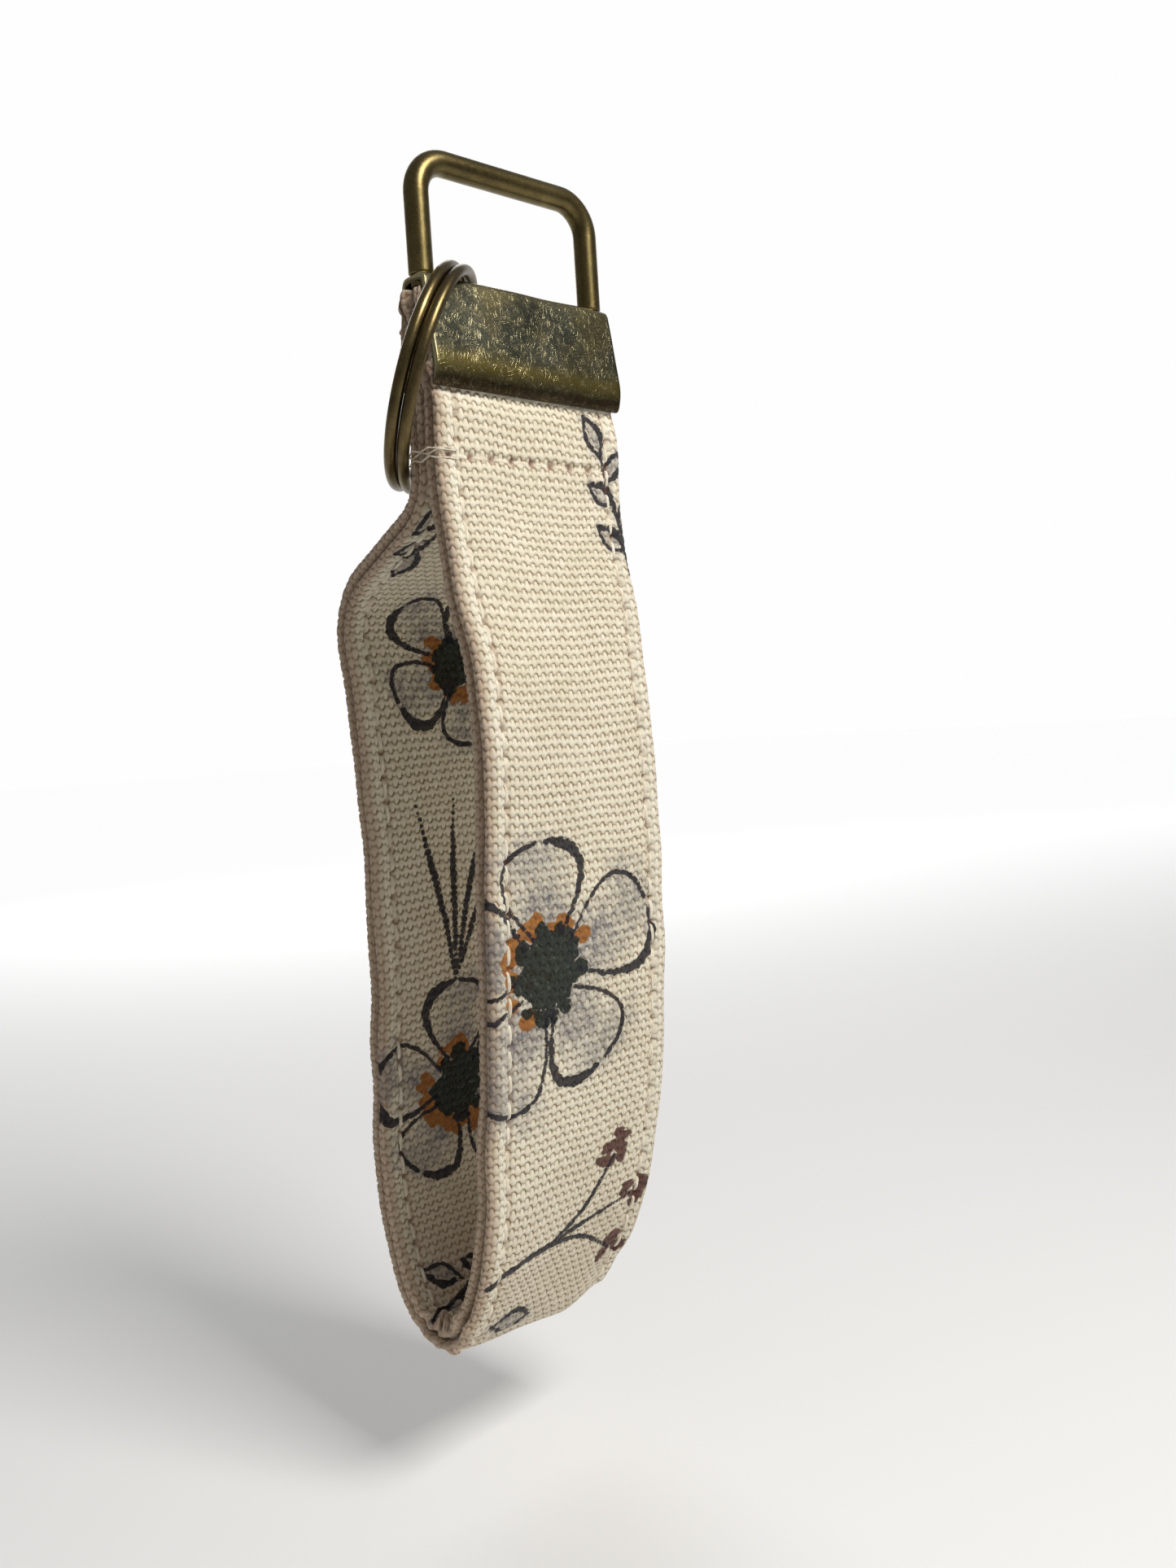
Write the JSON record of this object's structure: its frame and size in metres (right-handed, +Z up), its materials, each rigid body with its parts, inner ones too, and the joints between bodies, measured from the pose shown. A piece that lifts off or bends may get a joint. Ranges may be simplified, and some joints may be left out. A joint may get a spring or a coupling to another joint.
{
  "type": "wristlet keychain",
  "caption": "Canvas wrist loop with its ends crimped in a folded brass clamp, a rectangular wire bail and a split key ring hanging over one end.",
  "frame": {"origin": "middle of the underside of the bail's top bar, where it hangs on a hook or ring", "axes": "+X along the strap's width, +Y from the loop's front leg to its back leg, +Z up, with the bail at the top"},
  "size_m": [0.039, 0.0322, 0.1623],
  "materials": {
    "antique_brass": "antiqued brass plate, dark in the hollows and rubbed bright on the edges",
    "ring_brass": "antiqued brass wire, smooth and rubbed",
    "canvas": "cream plain-weave canvas with a loose botanical print",
    "interlining": "stiff non-woven interlining",
    "thread": "cream spun sewing thread"
  },
  "bodies": {
    "strap_and_clamp": {"crimp_clamp": "antique_brass", "bail_loop": "antique_brass", "canvas_strip": "canvas", "interlining": "interlining", "left_edge_needle_thread": "thread", "left_edge_bobbin_thread": "thread", "right_edge_needle_thread": "thread", "right_edge_bobbin_thread": "thread", "cross_seam_needle_thread": "thread", "cross_seam_bobbin_thread": "thread"},
    "key_ring": {"split_key_ring": "ring_brass"}
  },
  "joints": [
    {"name": "ring_swing", "type": "hinge", "parent": "strap_and_clamp", "child": "key_ring", "pos_m": [-0.0066, 0.0001, -0.01205], "axis": [0.6947, 0.7193, 0], "range_deg": [0, 160]}
  ]
}
